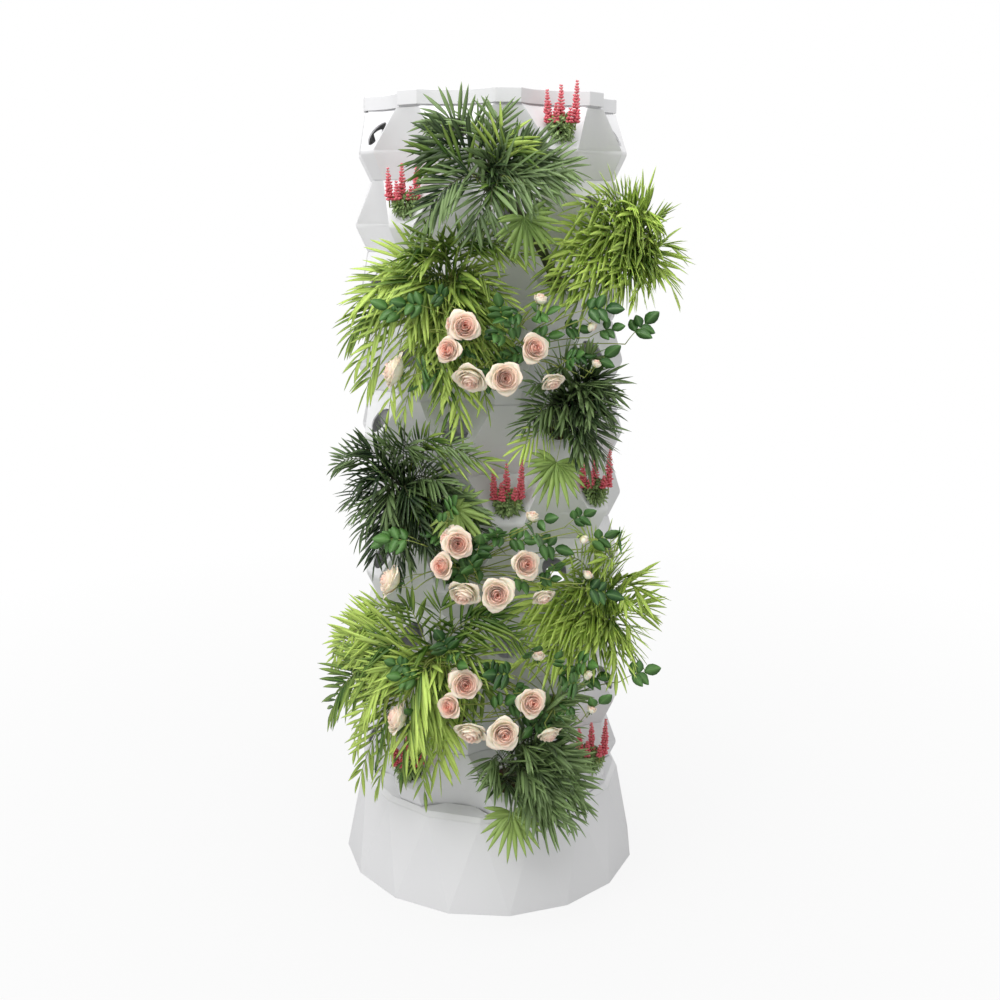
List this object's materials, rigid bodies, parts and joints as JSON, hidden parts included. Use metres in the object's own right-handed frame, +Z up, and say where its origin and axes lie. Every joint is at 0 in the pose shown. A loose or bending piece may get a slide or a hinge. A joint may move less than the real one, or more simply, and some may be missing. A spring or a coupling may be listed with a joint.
{
  "type": "vertical planter tower",
  "caption": "Faceted white hydroponic planter tower: stacked pocket tiers on a round water base, with a lid, an inner riser pipe, and net cups of palms, roses and lupins.",
  "frame": {"origin": "on the floor, under the middle of the water base, which is the tower's axis", "axes": "+Z up along the tower's axis, -Y towards the front that the picture shows, +X to its right"},
  "size_m": [0.7168, 0.7345, 1.5531],
  "materials": {
    "tier_plastic": "satin moulded, ultraviolet-stable white",
    "base_plastic": "satin moulded white",
    "lid_plastic": "satin moulded white",
    "cup_plastic": "matt white mesh",
    "pump_plastic": "matt dark blue-grey",
    "strainer_plastic": "matt black",
    "pipe_plastic": "extruded pale grey",
    "dish_plastic": "matt white",
    "tap_plastic": "matt black",
    "lever_plastic": "satin red",
    "grommet_rubber": "matt black",
    "foot_rubber": "matt black",
    "pin_steel": "drawn wire",
    "bright_palm": "waxy yellow-green leaf",
    "dark_palm": "waxy deep green leaf",
    "rose_spray": "velvety cream petals over glossy leaves",
    "lupin_flower": "pink-red blossom over green leaves"
  },
  "bodies": {
    "tower": {"base_tank": "base_plastic", "base_cover": "base_plastic", "cable_grommet": "grommet_rubber", "flap_pin": "pin_steel", "tap_body": "tap_plastic", "tap_nut": "tap_plastic", "pump_body": "pump_plastic", "pump_strainer": "strainer_plastic", "pump_suckers": "foot_rubber", "riser_lower": "pipe_plastic", "riser_upper": "pipe_plastic", "distributor_dish": "dish_plastic", "spray_head": "dish_plastic", "tier_01": "tier_plastic", "tier_02": "tier_plastic", "tier_03": "tier_plastic", "tier_04": "tier_plastic", "tier_05": "tier_plastic", "tier_06": "tier_plastic", "tier_07": "tier_plastic", "tier_08": "tier_plastic", "tier_09": "tier_plastic", "tier_10": "tier_plastic"},
    "lid": {"top_lid": "lid_plastic"},
    "tap_lever": {"tap_lever": "lever_plastic"},
    "fill_flap": {"fill_flap": "lid_plastic"},
    "palm_1": {"palm_cup_1": "cup_plastic", "palm_plant_1": "dark_palm"},
    "palm_2": {"palm_cup_2": "cup_plastic", "palm_plant_2": "bright_palm"},
    "palm_3": {"palm_cup_3": "cup_plastic", "palm_plant_3": "bright_palm"},
    "palm_4": {"palm_cup_4": "cup_plastic", "palm_plant_4": "dark_palm"},
    "palm_5": {"palm_cup_5": "cup_plastic", "palm_plant_5": "dark_palm"},
    "palm_6": {"palm_cup_6": "cup_plastic", "palm_plant_6": "bright_palm"},
    "palm_7": {"palm_cup_7": "cup_plastic", "palm_plant_7": "bright_palm"},
    "palm_8": {"palm_cup_8": "cup_plastic", "palm_plant_8": "dark_palm"},
    "rose_1": {"rose_cup_1": "cup_plastic", "rose_plant_1": "rose_spray"},
    "rose_2": {"rose_cup_2": "cup_plastic", "rose_plant_2": "rose_spray"},
    "rose_3": {"rose_cup_3": "cup_plastic", "rose_plant_3": "rose_spray"},
    "lupin_1": {"lupin_cup_1": "cup_plastic", "lupin_plant_1": "lupin_flower"},
    "lupin_2": {"lupin_cup_2": "cup_plastic", "lupin_plant_2": "lupin_flower"},
    "lupin_3": {"lupin_cup_3": "cup_plastic", "lupin_plant_3": "lupin_flower"},
    "lupin_4": {"lupin_cup_4": "cup_plastic", "lupin_plant_4": "lupin_flower"},
    "lupin_5": {"lupin_cup_5": "cup_plastic", "lupin_plant_5": "lupin_flower"},
    "lupin_6": {"lupin_cup_6": "cup_plastic", "lupin_plant_6": "lupin_flower"}
  },
  "joints": [
    {"name": "lid_lift", "type": "slide", "parent": "tower", "child": "lid", "axis": [0, 0, 1], "range_m": [0, 0.3]},
    {"name": "tap_turn", "type": "hinge", "parent": "tower", "child": "tap_lever", "pos_m": [0.06074, 0.30537, 0.0485], "axis": [0, 0, -1], "range_deg": [0, 90]},
    {"name": "flap_swing", "type": "hinge", "parent": "tower", "child": "fill_flap", "pos_m": [0.10258, 0.24766, 0.15481], "axis": [0.9239, -0.3827, 0], "range_deg": [0, 110]},
    {"name": "palm_1_draw", "type": "slide", "parent": "tower", "child": "palm_1", "axis": [0.3167, -0.7646, 0.5613], "range_m": [0, 0.06]},
    {"name": "palm_2_draw", "type": "slide", "parent": "tower", "child": "palm_2", "axis": [-0.3167, -0.7646, 0.5613], "range_m": [0, 0.06]},
    {"name": "palm_3_draw", "type": "slide", "parent": "tower", "child": "palm_3", "axis": [0.7646, -0.3167, 0.5613], "range_m": [0, 0.06]},
    {"name": "palm_4_draw", "type": "slide", "parent": "tower", "child": "palm_4", "axis": [0.3167, -0.7646, 0.5613], "range_m": [0, 0.06]},
    {"name": "palm_5_draw", "type": "slide", "parent": "tower", "child": "palm_5", "axis": [-0.5852, -0.5852, 0.5613], "range_m": [0, 0.06]},
    {"name": "palm_6_draw", "type": "slide", "parent": "tower", "child": "palm_6", "axis": [0.5852, -0.5852, 0.5613], "range_m": [0, 0.06]},
    {"name": "palm_7_draw", "type": "slide", "parent": "tower", "child": "palm_7", "axis": [-0.3167, -0.7646, 0.5613], "range_m": [0, 0.06]},
    {"name": "palm_8_draw", "type": "slide", "parent": "tower", "child": "palm_8", "axis": [0, -0.8276, 0.5613], "range_m": [0, 0.06]},
    {"name": "rose_1_draw", "type": "slide", "parent": "tower", "child": "rose_1", "axis": [0, -0.8276, 0.5613], "range_m": [0, 0.06]},
    {"name": "rose_2_draw", "type": "slide", "parent": "tower", "child": "rose_2", "axis": [-0.3167, -0.7646, 0.5613], "range_m": [0, 0.06]},
    {"name": "rose_3_draw", "type": "slide", "parent": "tower", "child": "rose_3", "axis": [0.3167, -0.7646, 0.5613], "range_m": [0, 0.06]},
    {"name": "lupin_1_draw", "type": "slide", "parent": "tower", "child": "lupin_1", "axis": [0.3167, -0.7646, 0.5613], "range_m": [0, 0.06]},
    {"name": "lupin_2_draw", "type": "slide", "parent": "tower", "child": "lupin_2", "axis": [-0.5852, -0.5852, 0.5613], "range_m": [0, 0.06]},
    {"name": "lupin_3_draw", "type": "slide", "parent": "tower", "child": "lupin_3", "axis": [0, -0.8276, 0.5613], "range_m": [0, 0.06]},
    {"name": "lupin_4_draw", "type": "slide", "parent": "tower", "child": "lupin_4", "axis": [0.5852, -0.5852, 0.5613], "range_m": [0, 0.06]},
    {"name": "lupin_5_draw", "type": "slide", "parent": "tower", "child": "lupin_5", "axis": [-0.5852, -0.5852, 0.5613], "range_m": [0, 0.06]},
    {"name": "lupin_6_draw", "type": "slide", "parent": "tower", "child": "lupin_6", "axis": [0.5852, -0.5852, 0.5613], "range_m": [0, 0.06]}
  ]
}
